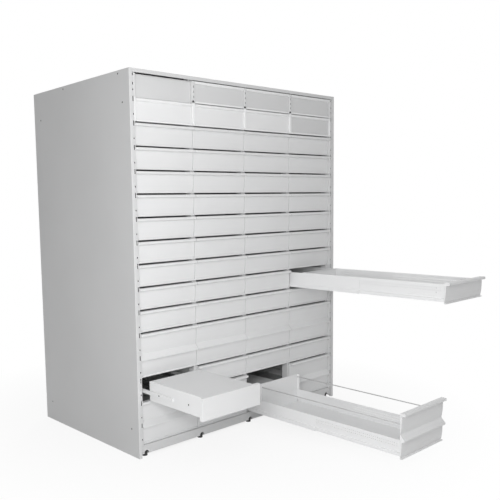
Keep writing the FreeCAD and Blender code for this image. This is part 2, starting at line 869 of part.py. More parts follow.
def in_cell(name, pieces, column, low_row, travel=0.0):
    node = doc.addObject("Part::Compound", name)
    node.Label = name
    node.Links = pieces
    x, z = cell_origin(column, low_row)
    y = -DEPTH / 2 - travel
    node.Placement = FreeCAD.Placement(V(x.value, y.value, z.value), FreeCAD.Rotation())
    bind(node, "Placement.Base.x", x)
    bind(node, "Placement.Base.y", y)
    bind(node, "Placement.Base.z", z)
    nodes.append(node)
    return node


def of_shapes(name, shapes):
    """A node of repeated pieces, each a solid of its own, set out in code."""
    node = doc.addObject("Part::Feature", name)
    node.Label = name
    node.Shape = Part.makeCompound(shapes)
    y = -DEPTH / 2
    node.Placement = FreeCAD.Placement(V(0, y.value, 0), FreeCAD.Rotation())
    nodes.append(node)
    return node


def moved(source, x, y, z):
    shape = source.Shape.copy()
    shift = V(as_size(x).value, as_size(y).value, as_size(z).value)
    shape.translate(shift)
    return shape


def flipped(source):
    return source.Shape.mirror(V(0, 0, 0), V(1, 0, 0))


of_shapes("right_side_panel", [side_pan.Shape])
of_shapes("left_side_panel", [flipped(side_pan)])
of_shapes("top_panel", [top_pan.Shape])

back = doc.addObject("Part::Box", "back_panel")
back.Label = "back_panel"
bind(back, "Length", INNER_WIDTH)
bind(back, "Width", S.sheet)
bind(back, "Height", CARCASS_HEAD - S.plinth_lift)
corner = (-INNER_WIDTH / 2, DEPTH / 2 - S.sheet, S.plinth_lift)
back.Placement = FreeCAD.Placement(V(*[size.value for size in corner]), FreeCAD.Rotation())
bind(back, "Placement.Base.x", corner[0])
bind(back, "Placement.Base.y", corner[1])
bind(back, "Placement.Base.z", corner[2])
nodes.append(back)

beams = [moved(beam, foot_line(line), 0, 0) for line in range(COLUMNS + 1)]
of_shapes("base_plinth", [base_pan.Shape] + beams)

rear_line = DEPTH - S.rear_post_setback - S.post_depth
posts = [side_post.Shape, flipped(side_post)]
rear_corner = moved(side_rear_post, 0, rear_line, 0)
posts += [rear_corner, rear_corner.mirror(V(0, 0, 0), V(1, 0, 0))]
for line in range(1, COLUMNS):
    posts.append(moved(post, column_line(line), S.post_setback, 0))
    posts.append(moved(post, column_line(line), rear_line, 0))
of_shapes("upright_posts", posts)

front_foot_line = S.plinth_setback + S.foot_setback
rear_foot_line = DEPTH - front_foot_line
feet = []
for line in range(COLUMNS + 1):
    feet.append(moved(foot, foot_line(line), front_foot_line, 0))
    feet.append(moved(foot, foot_line(line), rear_foot_line, 0))
feet.append(moved(foot, 0, DEPTH / 2, 0))
of_shapes("levelling_feet", feet)

panels = []
for column in range(1, COLUMNS + 1):
    pair = [blank_panel if column == 1 else rimmed_panel, rimmed_panel]
    for row, piece in enumerate(pair, start=1):
        x, z = cell_origin(column, row)
        panels.append(moved(piece, x, 0, z))
for line in range(1, COLUMNS):
    panels.append(moved(cover, column_line(line), 0, 0))
side_line = COL * COLUMNS / 2 - S.cover_width / 4
panels += [moved(side_cover, side_line, 0, 0), moved(side_cover, -side_line, 0, 0)]
of_shapes("front_panels", panels)

# Which cells hold a drawer, by their lowest row: one pitch or two pitches high.
SINGLE_ROWS = [3, 4, 5, 6, 7, 8, 9, 10, 11, 14]
DOUBLE_ROWS = [13, 16]
LONG_CELL = (10, 4)
DEEP_CELL = (16, 3)
WORKTOP_CELL = (14, 1)

rails = []
for row in SINGLE_ROWS + DOUBLE_ROWS:
    for column in range(1, COLUMNS + 1):
        x, z = cell_origin(column, row)
        pair = [rail, rail_twin]
        if (row, column) == WORKTOP_CELL:
            pair = [worktop_rail, worktop_rail_twin]
        rails += [moved(piece, x, 0, z) for piece in pair]
of_shapes("runner_rails", rails)

half_travel = S.drawer_travel / 2
for row in SINGLE_ROWS:
    for column in range(1, COLUMNS + 1):
        if (row, column) == LONG_CELL:
            in_cell("long_drawer", [open_tray, open_front], column, row, S.drawer_travel)
            pair = [carriage, carriage_twin]
            in_cell("long_drawer_carriage", pair, column, row, half_travel)
        elif (row, column) == WORKTOP_CELL:
            in_cell("worktop", [worktop, worktop_board], column, row, S.worktop_travel)
            pair = [short_carriage, short_carriage_twin]
            in_cell("worktop_carriage", pair, column, row, S.worktop_travel / 2)
        else:
            in_cell("drawer_r%02d_c%d" % (row, column), [tray, front], column, row)
for row in DOUBLE_ROWS:
    for column in range(1, COLUMNS + 1):
        if (row, column) == DEEP_CELL:
            pieces = [open_deep_tray, open_deep_front, open_rod, open_rod_twin]
            in_cell("deep_drawer", pieces, column, row, S.drawer_travel)
            pair = [deep_carriage, deep_carriage_twin]
            in_cell("deep_drawer_carriage", pair, column, row, half_travel)
        else:
            name = "deep_drawer_r%02d_c%d" % (row, column)
            in_cell(name, [deep_tray, deep_front, rod, rod_twin], column, row)

doc.recompute()

for item in doc.Objects:
    if "Invalid" in item.State or "Error" in item.State:
        raise RuntimeError("%s failed: %s" % (item.Name, item.State))
for node in nodes:
    shape = node.Shape
    if shape.isNull() or not shape.isValid() or not shape.Solids:
        raise RuntimeError("%s has no valid solid" % node.Label)

os.makedirs("parts", exist_ok=True)
for node in nodes:
    node.Shape.exportStep("parts/%s.step" % node.Label)
print("%d nodes, %d solids" % (len(nodes), sum(len(node.Shape.Solids) for node in nodes)))
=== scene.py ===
import math

import bmesh
import bpy
from mathutils import Matrix, Vector

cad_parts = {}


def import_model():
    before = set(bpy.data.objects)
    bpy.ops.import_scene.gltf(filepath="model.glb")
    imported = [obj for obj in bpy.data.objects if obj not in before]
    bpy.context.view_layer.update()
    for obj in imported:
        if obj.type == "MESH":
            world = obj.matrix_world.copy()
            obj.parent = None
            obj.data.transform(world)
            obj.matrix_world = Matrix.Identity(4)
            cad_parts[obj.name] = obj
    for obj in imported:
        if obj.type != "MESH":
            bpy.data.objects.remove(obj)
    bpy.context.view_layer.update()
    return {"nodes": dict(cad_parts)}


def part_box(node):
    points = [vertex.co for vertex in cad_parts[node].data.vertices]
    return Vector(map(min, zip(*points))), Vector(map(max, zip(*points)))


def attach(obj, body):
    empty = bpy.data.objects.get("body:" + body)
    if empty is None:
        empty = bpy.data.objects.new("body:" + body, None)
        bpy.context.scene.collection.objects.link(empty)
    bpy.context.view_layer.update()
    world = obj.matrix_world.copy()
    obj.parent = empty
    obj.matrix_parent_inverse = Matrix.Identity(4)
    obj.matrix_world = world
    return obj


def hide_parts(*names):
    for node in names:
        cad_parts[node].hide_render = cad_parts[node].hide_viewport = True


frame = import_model()

# Metres, in the model's own frame: origin on the floor in the middle of the footprint,
# +X to the right and the drawer fronts towards -Y. A cell's own frame has x = 0 on the
# column's centre, y = 0 on the plane of the closed lips and z = 0 on its lower pitch line.
# A name that ends in TURN is the radius of a turned or folded corner.

# What the frame gives.
NODES = frame["nodes"]
SIDE_LOW, SIDE_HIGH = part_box("left_side_panel")
FIRST_LOW, FIRST_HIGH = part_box("drawer_r03_c1")
BACK_LOW, BACK_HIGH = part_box("back_panel")
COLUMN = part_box("drawer_r03_c2")[0][0] - FIRST_LOW[0]
ROW = FIRST_LOW[2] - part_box("drawer_r04_c1")[0][2]
FRONT_PLANE = SIDE_LOW[1]
BACK_PLANE = SIDE_HIGH[1]
HEIGHT = SIDE_HIGH[2]
OUTER = -SIDE_LOW[0]
MOUTH = -SIDE_HIGH[0]
DEPTH = BACK_PLANE - FRONT_PLANE
COLUMNS = 4
ROWS = 16
CARCASS_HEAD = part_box("top_panel")[0][2]
BASE = CARCASS_HEAD - ROW * ROWS

# Sheet metal, and how meshes are finished.
SHEET = 0.0015
FOLDED = SHEET * 0.96           # swept sheets are a little thinner than their solids
SHEET_TURN = 0.002
TINY = 1e-6
CREASE = math.radians(40.0)     # edges sharper than this are bevelled and stay sharp
NORMAL_WEIGHT = 90
FINE_BEVEL = 0.0005
BOARD_BEVEL = 0.0008
HOOK_BEVEL = 0.0004

# Drawer fronts.
FRONT_HALF = (FIRST_HIGH[0] - FIRST_LOW[0]) / 2
FRONT_FOOT = 0.003
FRONT_REAR = 0.030
FRONT_HEAD = 0.006
LIP_REACH = 0.028
LIP_HEIGHT = 0.015
WEB_LEAN = 0.007
WEB_BELLY = 0.003
LEDGE_REACH = 0.010
LEDGE_HEIGHT = 0.005
NOSE_REACH = 0.024
NOSE_HEIGHT = 0.010
NOSE_SLOPE = 0.027
NOSE_RISE = 0.007
REAR_TURN = 0.0006
GRIP_TURN = 0.006
LIP_TURN = 0.004
NOSE_TURN = 0.003
NOSE_ROOT_TURN = 0.002
LEDGE_TURN = 0.0015
LEDGE_ROOT_TURN = 0.001

# Trays. A runner is the widened foot of a tray: its half width, lower and upper height.
TRAY_HALF = 0.180
TRAY_REAR = DEPTH - 0.0075
TRAY_RIM = ROW - 0.017
DEEP_RIM = 0.0948
DEEP_REAR_HEAD = ROW * 2 - 0.055
CLOSED_RUNNER = (0.1895, 0.0088, 0.0302)
OPEN_RUNNER = (0.1875, 0.0106, 0.0284)
HEM = 0.009
END_FLANGE = 0.012
REAR_WING = 0.018
WING_GAP = 0.0005
HEM_TURN = 0.0013
STEP_TURN = 0.001
FOOT_TURN = 0.0025
SLOT_PITCH = 0.0125
SLOT_LENGTH = 0.005
SLOT_HEIGHT = 0.0035
SLOT_MARGIN = 0.030
SLOT_ROWS = (0.072, 0.086)
DEEP_SLOT_ROWS = (0.060, 0.074)
ROD_HEIGHT = ROW * 2 - 0.072
ROD_RADIUS = 0.003
ROD_SIDE = TRAY_HALF - SHEET / 2 - ROD_RADIUS
ROD_CHAMFER = 0.0004

# Screws and rivets; DOME gives a head's shares of radius and height, from its foot up.
DOME = ((1.0, 0.0), (0.96, 0.35), (0.75, 0.78), (0.4, 0.97), (0.15, 1.0))
ROUND_STEPS = 16
SCREW_RADIUS = 0.0045
SCREW_HEIGHT = 0.0004
RIVET_RADIUS = 0.0036
RIVET_HEIGHT = 0.0005
RIVETS = ((0.088, 0.084), (0.088, 0.060))
WORKTOP_SCREWS = ((0.143, 0.055),)
CARRIAGE_SCREWS = ((0.090, 0.0),)

# Worktop. TONGUE is its runners' half width, lower and upper height, and length.
BOARD_FACE = 0.010
BOARD_REAR = 0.030
BOARD_HEAD = ROW - 0.006
BOARD_TURN = 0.0015
PAN_REAR = 0.463
PAN_FOOT = 0.009
PAN_HEAD = ROW - 0.010
PAN_TURN = 0.0025
TONGUE = (0.1875, 0.0456, 0.0634, 0.200)
TONGUE_TURN = 0.001

# Panels of the two upper rows, and the strips between them.
PANEL_HALF = COLUMN / 2 - 0.011
PANEL_FOOT = 0.0015
PANEL_HEAD = ROW - 0.003
PANEL_REAR = 0.032
BLANK_FACE = 0.022
BLANK_TURN = 0.0015
RIM_FACE = 0.004
RIM_RECESS = 0.010
UPPER_RIM = 0.014
LOWER_RIM = 0.010
RECESS_TURN = 0.001
COVER_HALF = 0.0085
COVER_TURN = 0.0012
COVER_SLOTS = (0.034, 0.062, 0.090)     # below the carcass head
COVER_SLOT_HALF = 0.0025
COVER_SLOT_REACH = 0.006
JOINT_WIDTH = 0.001
# A thin dark sheet behind each cover strip's slots is painted shade for the hollow.
SHADE_SHEET_HALF = 0.006
SHADE_SHEET_MARGIN = 0.012
SHADE_SHEET_THICKNESS = 0.001
SHADE_SHEET_GAP = 0.0002
HOOK = ((-0.0165, 0.0), (0.0035, 0.0), (-0.0065, 0.013))    # its corners, x and z
HOOK_RISE = 0.004
HOOK_THICKNESS = 0.003
HOOK_TURN = 0.001

# Carcass. SKIN is how far the outer sheets stay inside the box, for the screw heads.
SKIN = 0.0007
SIDE_SCREWS = ((0.066, 1.917), (0.94, 1.917), (0.66, 2.068), (0.10, 2.068), (0.067, 0.155),
               (0.94, 0.12))
FLANGE_RETURN = 0.020
RETURN_TURN = 0.0015
FACE_DEPTH = 0.0021             # what lies nearer the front plane is a sheet's front face
BACK_JOINT_HALF = 0.0008
BACK_RISE = 0.0005
BACK_TURN = 0.004
BACK_SCREW_INSET = 0.016
BACK_SCREW_FIRST = 0.045
BACK_SCREW_PITCH = 0.333
BACK_SCREW_COUNT = 7

# Feet: (radius, height) from the pad over the fluted body to the stem.
FOOT_LINE = ((0.0148, 0.0), (0.0155, 0.0007), (0.0155, 0.0036), (0.0150, 0.0048),
             (0.0144, 0.0056), (0.0151, 0.0085), (0.0152, 0.0095), (0.0152, 0.0355),
             (0.0148, 0.0365), (0.0136, 0.038), (0.0062, 0.0382), (0.006, 0.039),
             (0.006, 0.050))
FOOT_STEPS = 48
FLUTES = 12
FLUTE_DEPTH = 0.05              # as a share of the radius
FLUTE_LOW = 0.009
FLUTE_HIGH = 0.036
STEM_LOW = 0.0381
FOOT_OFFSET = 0.026
FOOT_SETBACK = 0.0335

# The side posts' tubes, seen through the slots of their strips; their insides get painted
# shade.
TUBE_WIDTH = 0.014
TUBE_WALL = 0.001
TUBE_FRONT = 0.0075
TUBE_REAR = 0.071

# The camera, fitted to the photograph; its angles are in radians.
CAMERA_PLACE = (-2.914673, -3.314865, 1.378908)
CAMERA_HEADING = 0.702315
CAMERA_DROP = 0.106021
CAMERA_ROLL = -0.020979
FOCAL_PIXELS = 658.529
IMAGE_PIXELS = 500.0
CENTRE_PIXEL = (180.509, 274.652)
SENSOR_MM = 36.0
CLIP_END = 100.0

# The studio. A lamp has a name, a place, a target, a diameter and its watts.
LAMPS = (
    ("key", (-2.66, -2.64, 1.51), (-0.2, -0.6, 0.9), 1.2, 59.0),
    ("fill", (-1.1, -2.7, 2.9), (-0.2, -0.5, 0.7), 1.4, 11.0),
    ("rear", (2.6, 3.2, 1.2), (0.3, 0.4, 1.1), 1.4, 80.0),
)
AMBIENT = 0.35
FLOOR_RADIUS = 30.0
FADE_START = 0.8                # where the floor is as white as FADE_SHARE says,
FADE_SHARE = 0.86
FADE_END = 1.9                  # and where it is quite white
UNDER_SIDE = 0.015              # the soft edges of the dark floor under the carcass
UNDER_FRONT = (0.055, 0.040)
UNDER_BACK = 0.03

# A colour Mix node's sockets.
MIX_FACTOR, MIX_FIRST, MIX_SECOND, MIX_RESULT = 0, 6, 7, 2

TONE_DRIFT = 0.03
COAT_WARMTH = -0.004


# Materials.

class Nodes:
    """A node tree with short calls for adding and linking nodes."""

    def __init__(self, tree):
        self.tree = tree

    def add(self, kind, **settings):
        node = self.tree.nodes.new(kind)
        for key, value in settings.items():
            setattr(node, key, value)
        return node

    def link(self, source, target):
        self.tree.links.new(source, target)

    def spread(self, source, low, high, start=0.3, end=0.7):
        """The source's range from start to end, mapped to low and high."""
        node = self.add("ShaderNodeMapRange")
        node.inputs["From Min"].default_value = start
        node.inputs["From Max"].default_value = end
        node.inputs["To Min"].default_value = low
        node.inputs["To Max"].default_value = high
        self.link(source, node.inputs["Value"])
        return node.outputs["Result"]

    def maths(self, operation, *sources):
        """The result of a Math node on one or two sockets."""
        node = self.add("ShaderNodeMath", operation=operation)
        for source, socket in zip(sources, node.inputs):
            self.link(source, socket)
        return node.outputs[0]

    def background_rays(self):
        """1 on rays from the camera, straight, by a reflection or through glass; else 0."""
        path = self.add("ShaderNodeLightPath")
        seen = path.outputs["Is Camera Ray"]
        for name in ("Is Glossy Ray", "Is Transmission Ray"):
            seen = self.maths("MAXIMUM", seen, path.outputs[name])
        return seen


class Finish(Nodes):
    """A material's node tree, with its shader and the place that its patterns follow."""

    def __init__(self, name):
        self.material = bpy.data.materials.new(name)
        self.material.use_nodes = True
        super().__init__(self.material.node_tree)
        self.shader = self.tree.nodes["Principled BSDF"]
        self.place = self.add("ShaderNodeTexCoord").outputs["Object"]

    def set(self, name, value):
        self.shader.inputs[name].default_value = value

    def feed(self, name, source):
        self.link(source, self.shader.inputs[name])

    def noise(self, scale, detail=2.0, roughness=0.5, stretch=None):
        place = self.place
        if stretch:
            mapping = self.add("ShaderNodeMapping")
            mapping.inputs["Scale"].default_value = stretch
            self.link(place, mapping.inputs["Vector"])
            place = mapping.outputs["Vector"]
        node = self.add("ShaderNodeTexNoise")
        node.inputs["Scale"].default_value = scale
        node.inputs["Detail"].default_value = detail
        node.inputs["Roughness"].default_value = roughness
        self.link(place, node.inputs["Vector"])
        return node.outputs["Fac"]

    def mix(self, factor, first, second):
        """A colour between two, each a colour or a socket."""
        node = self.add("ShaderNodeMix", data_type="RGBA")
        for number, value in ((MIX_FACTOR, factor), (MIX_FIRST, first), (MIX_SECOND, second)):
            if isinstance(value, bpy.types.NodeSocket):
                self.link(value, node.inputs[number])
            else:
                node.inputs[number].default_value = value
        return node.outputs[MIX_RESULT]

    def bump(self, height, strength, distance, under=None):
        node = self.add("ShaderNodeBump")
        node.inputs["Strength"].default_value = strength
        node.inputs["Distance"].default_value = distance
        self.link(height, node.inputs["Height"])
        if under is not None:
            self.link(under, node.inputs["Normal"])
        return node.outputs["Normal"]


def grey(level, warmth=0.0):
    """A linear grey; a positive warmth adds red and takes blue."""
    return (level * (1 + warmth), level, level * (1 - warmth), 1.0)


def powder_coat(name, level, gloss=0.42):
    """Sprayed powder coat: orange peel, a slow drift of tone and faint rubbed patches."""
    finish = Finish(name)
    tone = finish.noise(scale=1.6, detail=3.0)
    fleck = finish.noise(scale=420.0, detail=1.0)
    rubbed = finish.noise(scale=7.0, detail=4.0, roughness=0.6)
    peel = finish.noise(scale=620.0)
    slow = finish.mix(finish.spread(tone, 0.0, 1.0),
                      grey(level * (1 - TONE_DRIFT), COAT_WARMTH),
                      grey(level * (1 + TONE_DRIFT), COAT_WARMTH))
    fine = finish.mix(finish.spread(fleck, 0.0, 0.12), slow, grey(level * 0.86, COAT_WARMTH))
    finish.feed("Base Color", fine)
    finish.feed("Roughness", finish.spread(rubbed, gloss - 0.02, gloss + 0.05))
    finish.feed("Normal", finish.bump(peel, strength=0.22, distance=0.00012))
    finish.set("Specular IOR Level", 0.45)
    return finish.material


def drawn_profile(name, level):
    """Smooth coated profile of a drawer front: long faint streaks along its length."""
    finish = Finish(name)
    streak = finish.noise(scale=1.0, detail=3.0, roughness=0.6, stretch=(1.3, 150.0, 150.0))
    patch = finish.noise(scale=2.2)
    peel = finish.noise(scale=380.0, detail=1.0)
    slow = finish.mix(finish.spread(patch, 0.0, 1.0), grey(level * 0.975, COAT_WARMTH),
                      grey(level * 1.02, COAT_WARMTH))
    toned = finish.mix(finish.spread(streak, 0.0, 0.35), slow, grey(level * 0.93, COAT_WARMTH))
    finish.feed("Base Color", toned)
    finish.feed("Roughness", finish.spread(streak, 0.27, 0.38))
    under = finish.bump(peel, strength=0.12, distance=0.0001)
    finish.feed("Normal", finish.bump(streak, strength=0.1, distance=0.00015, under=under))
    finish.set("Specular IOR Level", 0.5)
    return finish.material


def zinc_plate(name, level=0.62):
    """Bright zinc on rolled steel: rolling lines along the bar and cloudy plating."""
    finish = Finish(name)
    line = finish.noise(scale=1.0, detail=3.0, roughness=0.6, stretch=(260.0, 3.0, 260.0))
    cloud = finish.noise(scale=26.0, detail=3.0)
    toned = finish.mix(finish.spread(cloud, 0.0, 1.0), grey(level * 0.9, 0.004),
                       grey(level * 1.08, -0.006))
    finish.feed("Base Color", toned)
    finish.feed("Roughness", finish.spread(line, 0.28, 0.46))
    finish.feed("Normal", finish.bump(line, strength=0.2, distance=0.0001))
    finish.set("Metallic", 0.85)
    return finish.material


def moulded_black(name):
    """Black moulded plastic with a fine spark-eroded grain and dusty scuffs."""
    finish = Finish(name)
    grain = finish.noise(scale=900.0)
    scuff = finish.noise(scale=60.0, detail=4.0, roughness=0.65)
    dust = finish.spread(scuff, 0.0, 0.5, start=0.55, end=0.8)
    finish.feed("Base Color", finish.mix(dust, grey(0.012), grey(0.045)))
    finish.feed("Roughness", finish.spread(scuff, 0.45, 0.65))
    finish.feed("Normal", finish.bump(grain, strength=0.35, distance=0.00015))
    return finish.material


CARCASS = powder_coat("carcass_grey", 0.56)
STRIP = powder_coat("strip_grey", 0.68)
FRONT = drawn_profile("front_light_grey", 0.80)
TRAY = powder_coat("tray_light_grey", 0.82, gloss=0.38)
WORKTOP = powder_coat("worktop_light_grey", 0.78, gloss=0.36)
PANEL_GREY = powder_coat("panel_grey", 0.70)
PANEL_LIGHT = powder_coat("panel_light_grey", 0.84)
# Painted highlight: the upper panels' rims and the cover strips beside row 2 take this whiter
# coat for their lit edges.
RIM_HIGHLIGHT_WHITE = powder_coat("rim_highlight_white", 0.88, gloss=0.30)
ZINC = zinc_plate("bright_zinc")
DARK_STEEL = zinc_plate("dark_screw", 0.045)
# Painted shade: a near-black coat for the shadowed insides of the post tubes and behind the
# cover strips' slots.
SHADE = powder_coat("inner_shade", 0.06)
BLACK = moulded_black("foot_black")


# Sections.

def turned_corners(points, radii, steps=4, closed=False):
    """The line through points with its corners turned to the given radii."""
    points = [Vector(p) for p in points]
    count = len(points)
    line = []
    for i, (here, radius) in enumerate(zip(points, radii)):
        if not radius or (not closed and i in (0, count - 1)):
            line.append(here)
            continue
        before = points[i - 1] - here
        after = points[(i + 1) % count] - here
        half = before.angle(after) / 2
        reach = min(radius / math.tan(half), before.length * 0.49, after.length * 0.49)
        radius = reach * math.tan(half)
        before.normalize()
        after.normalize()
        centre = here + (before + after).normalized() * (radius / math.sin(half))
        first = here + before * reach - centre
        last = here + after * reach - centre
        sweep = first.angle(last)
        for k in range(steps + 1):
            share = k / steps
            arm = first * math.sin((1 - share) * sweep) + last * math.sin(share * sweep)
            line.append(centre + arm / math.sin(sweep))
    return line


def folded_line(points, radius):
    """An open line with the same radius at each of its inner corners."""
    return turned_corners(points, [0] + [radius] * (len(points) - 2) + [0])


def rounded_box(low, high, radius):
    """A closed rectangle with turned corners."""
    corners = [(low[0], low[1]), (high[0], low[1]), (high[0], high[1]), (low[0], high[1])]
    return turned_corners(corners, [radius] * 4, closed=True)


def bowed(first, last, depth, steps=6):
    """Points between two others, on the arc that stands depth off to the right."""
    a, b = Vector(first), Vector(last)
    half = (b - a).length / 2
    radius = (half * half + depth * depth) / (2 * depth)
    along = (b - a).normalized()
    right = Vector((along.y, -along.x))
    centre = (a + b) / 2 + right * (depth - radius)
    reach = math.asin(half / radius)
    turns = [reach * (2 * k / steps - 1) for k in range(1, steps)]
    return [centre + (along * math.sin(t) + right * math.cos(t)) * radius for t in turns]


# Ways of placing a section's point in space, at a distance along the sweep.

def along_x(point, at):
    return (at, point[0], point[1])


def along_y(point, at):
    return (point[0], at, point[1])


def along_z(point, at):
    return (point[0], point[1], at)


def shifted(put, x=0.0, y=0.0, z=0.0):
    """The same way of placing points, moved."""
    def moved(point, at):
        place = put(point, at)
        return (place[0] + x, place[1] + y, place[2] + z)
    return moved


def on_side(side):
    """Places (y, z) on an upright side plane, with heights measured outwards."""
    return lambda point, at: (side + math.copysign(at, side), point[0], point[1])


# Meshes and pieces.

def linked(name, data):
    """A new object in the scene."""
    item = bpy.data.objects.new(name, data)
    bpy.context.collection.objects.link(item)
    return item


def applied(item):
    """The object's mesh with its modifiers applied; the object itself goes."""
    source = item.data
    made = bpy.data.meshes.new_from_object(
        item.evaluated_get(bpy.context.evaluated_depsgraph_get()))
    bpy.data.objects.remove(item)
    bpy.data.meshes.remove(source)
    return made


class Form:
    """Points and faces of a mesh, gathered part by part; marks are the faces' materials.

    The functions given as mark say which material a face gets, by its two section points.
    """

    def __init__(self):
        self.points = []
        self.faces = []
        self.marks = []

    def face(self, numbers, mark=0):
        self.faces.append(numbers)
        self.marks.append(mark)

    def sheet(self, line, stations, put, hole=None, mark=None):
        """An open section swept through stations, without the faces that hole names."""
        first = len(self.points)
        count = len(line)
        for at in stations:
            self.points.extend(put(point, at) for point in line)
        for row in range(len(stations) - 1):
            for i in range(count - 1):
                if hole and hole(line[i], line[i + 1], row):
                    continue
                a = first + row * count + i
                self.face((a, a + 1, a + count + 1, a + count),
                          mark(line[i], line[i + 1], row) if mark else 0)

    def bar(self, loop, start, end, put, mark=None):
        """A closed section swept from start to end, with its two ends."""
        first = len(self.points)
        count = len(loop)
        for at in (start, end):
            self.points.extend(put(point, at) for point in loop)
        for i in range(count):
            j = (i + 1) % count
            self.face((first + i, first + j, first + count + j, first + count + i),
                      mark(loop[i], loop[j]) if mark else 0)
        self.face(tuple(range(first + count - 1, first - 1, -1)))
        self.face(tuple(range(first + count, first + count * 2)))

    def lathe(self, line, put, steps=ROUND_STEPS, fluted=False, mark=None):
        """(radius, height) points turned about an axis; put takes ((a, b), height)."""
        first = len(self.points)
        for radius, height in line:
            for k in range(steps):
                turn = 2 * math.pi * k / steps
                reach = radius
                if fluted and FLUTE_LOW < height < FLUTE_HIGH:
                    reach *= 1 - FLUTE_DEPTH * (0.5 + 0.5 * math.cos(FLUTES * turn))
                self.points.append(
                    put((reach * math.cos(turn), reach * math.sin(turn)), height))
        for row in range(len(line) - 1):
            for k in range(steps):
                a = first + row * steps + k
                b = first + row * steps + (k + 1) % steps
                self.face((a, b, b + steps, a + steps),
                          mark(line[row], line[row + 1]) if mark else 0)
        self.face(tuple(range(first + steps - 1, first - 1, -1)))
        last = first + (len(line) - 1) * steps
        self.face(tuple(range(last, last + steps)))

    def studs(self, places, radius, height, put):
        """Low domed heads on a plane; places are in the plane, put sets them on it."""
        line = [(radius * share, height * rise) for share, rise in DOME]
        for a, b in places:
            self.lathe(line, lambda point, at: put((point[0] + a, point[1] + b), at))

    def raw_object(self, name, materials, closed):
        """An object of the points and faces; a closed one's faces all look outwards."""
        mesh = bpy.data.meshes.new(name + "_raw")
        mesh.from_pydata([tuple(point) for point in self.points], [], self.faces)
        mesh.polygons.foreach_set("material_index", self.marks)
        for material in materials:
            mesh.materials.append(material)
        if closed:
            solid = bmesh.new()
            solid.from_mesh(mesh)
            bmesh.ops.recalc_face_normals(solid, faces=solid.faces)
            solid.to_mesh(mesh)
            solid.free()
        return linked(name + "_raw", mesh)

    def mesh(self, name, materials, thick=0.0, bevel=0.0):
        """The mesh; thick turns a sheet into folded metal and bevel eases its edges.

        Its normals are weighted by area, so flat faces stay flat beside the small turns.
        """
        item = self.raw_object(name, materials, closed=not thick)
        if thick:
            wall = item.modifiers.new("wall", "SOLIDIFY")
            wall.thickness = thick
            wall.offset = -1.0
            wall.use_even_offset = True
        if bevel:
            edge = item.modifiers.new("edge", "BEVEL")
            edge.width = bevel
            edge.segments = 2
            edge.limit_method = "ANGLE"
            edge.angle_limit = CREASE
        made = applied(item)
        made.polygons.foreach_set("use_smooth", [True] * len(made.polygons))
        made.set_sharp_from_angle(angle=CREASE)
        item = linked(name + "_even", made)
        shade = item.modifiers.new("shade", "WEIGHTED_NORMAL")
        shade.weight = NORMAL_WEIGHT
        shade.keep_sharp = True
        made = applied(item)
        made.name = name
        return made


def piece(name, mesh, body, place=(0.0, 0.0, 0.0)):
    """A visible piece that rides on a body of the frame."""
    item = linked(name, mesh)
    item.location = place
    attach(item, body)
    return item


def dress(node, material):
    """Give a CAD node's object its material."""
    item = NODES[node]
    if not item.material_slots:
        item.data.materials.append(material)
    for place in item.material_slots:
        place.material = material


# Drawers.

def front_mesh(name, head, nose=None):
    """A grip lip with turned edges, a web with a slight belly, and a ledge.

    A deep front also has a nose at its middle, on the height that nose gives. The profile's
    rows are depth, height and the corner's radius.
    """
    lean = LIP_REACH - WEB_LEAN
    above = (lean, head - LIP_HEIGHT)
    root = (LIP_REACH, FRONT_FOOT + LEDGE_HEIGHT)
    ledge = LIP_REACH - LEDGE_REACH
    profile = [(FRONT_REAR, head, REAR_TURN), (0.0, head, GRIP_TURN),
               (0.0, head - LIP_HEIGHT, LIP_TURN), above + (GRIP_TURN,)]

    def web(first, last):
        return [tuple(point) + (0.0,) for point in bowed(first, last, WEB_BELLY)]

    if nose is not None:
        brow = (LIP_REACH, nose + NOSE_RISE)
        tip = brow[1] - NOSE_SLOPE
        under = (lean, tip - NOSE_HEIGHT)
        profile += web(above, brow)
        profile += [brow + (NOSE_ROOT_TURN,), (LIP_REACH - NOSE_REACH, tip, NOSE_TURN),
                    (LIP_REACH - NOSE_REACH, under[1], NOSE_TURN), under + (GRIP_TURN,)]
        above = under
    profile += web(above, root)
    profile += [root + (LEDGE_ROOT_TURN,), (ledge, root[1], LEDGE_TURN),
                (ledge, FRONT_FOOT, LEDGE_TURN), (FRONT_REAR, FRONT_FOOT, REAR_TURN)]
    loop = turned_corners([row[:2] for row in profile], [row[2] for row in profile], 5, True)
    form = Form()
    form.bar(loop, -FRONT_HALF, FRONT_HALF, along_x)
    return form.mesh(name, [FRONT], bevel=FINE_BEVEL)


def on_wall(a, b):
    """Whether two neighbouring points of a tray's section are both on its upright walls."""
    return abs(abs(a.x) - TRAY_HALF) <= TINY and abs(abs(b.x) - TRAY_HALF) <= TINY


def with_levels(line, levels):
    """The section with points added where its upright walls cross the levels."""
    made = []
    for a, b in zip(line, line[1:]):
        made.append(a)
        if on_wall(a, b):
            inside = [z for z in levels if min(a.y, b.y) + TINY < z < max(a.y, b.y) - TINY]
            made += [Vector((a.x, z)) for z in sorted(inside, reverse=a.y > b.y)]
    return made + [line[-1]]


def tray_section(rim, runner):
    """From one hemmed rim down, round the widened foot, and up to the other rim."""
    broad, low, high = runner
    inner = TRAY_HALF - SHEET * 2
    right = [(inner, rim - HEM), (inner, rim), (TRAY_HALF, rim), (TRAY_HALF, high),
             (broad, high), (broad, low)]
    radii = [0.0, HEM_TURN, HEM_TURN, STEP_TURN, FOOT_TURN, FOOT_TURN]
    left = [(-x, z) for x, z in reversed(right)]
    return turned_corners(right + left, radii + radii[::-1], steps=2)


def slot_stations():
    """The tray's ends, and both ends of each slot between them."""
    stations = [FRONT_REAR]
    at = FRONT_REAR + SLOT_MARGIN
    while at < TRAY_REAR - SLOT_MARGIN:
        stations += [at, at + SLOT_LENGTH]
        at += SLOT_PITCH
    return stations + [TRAY_REAR]


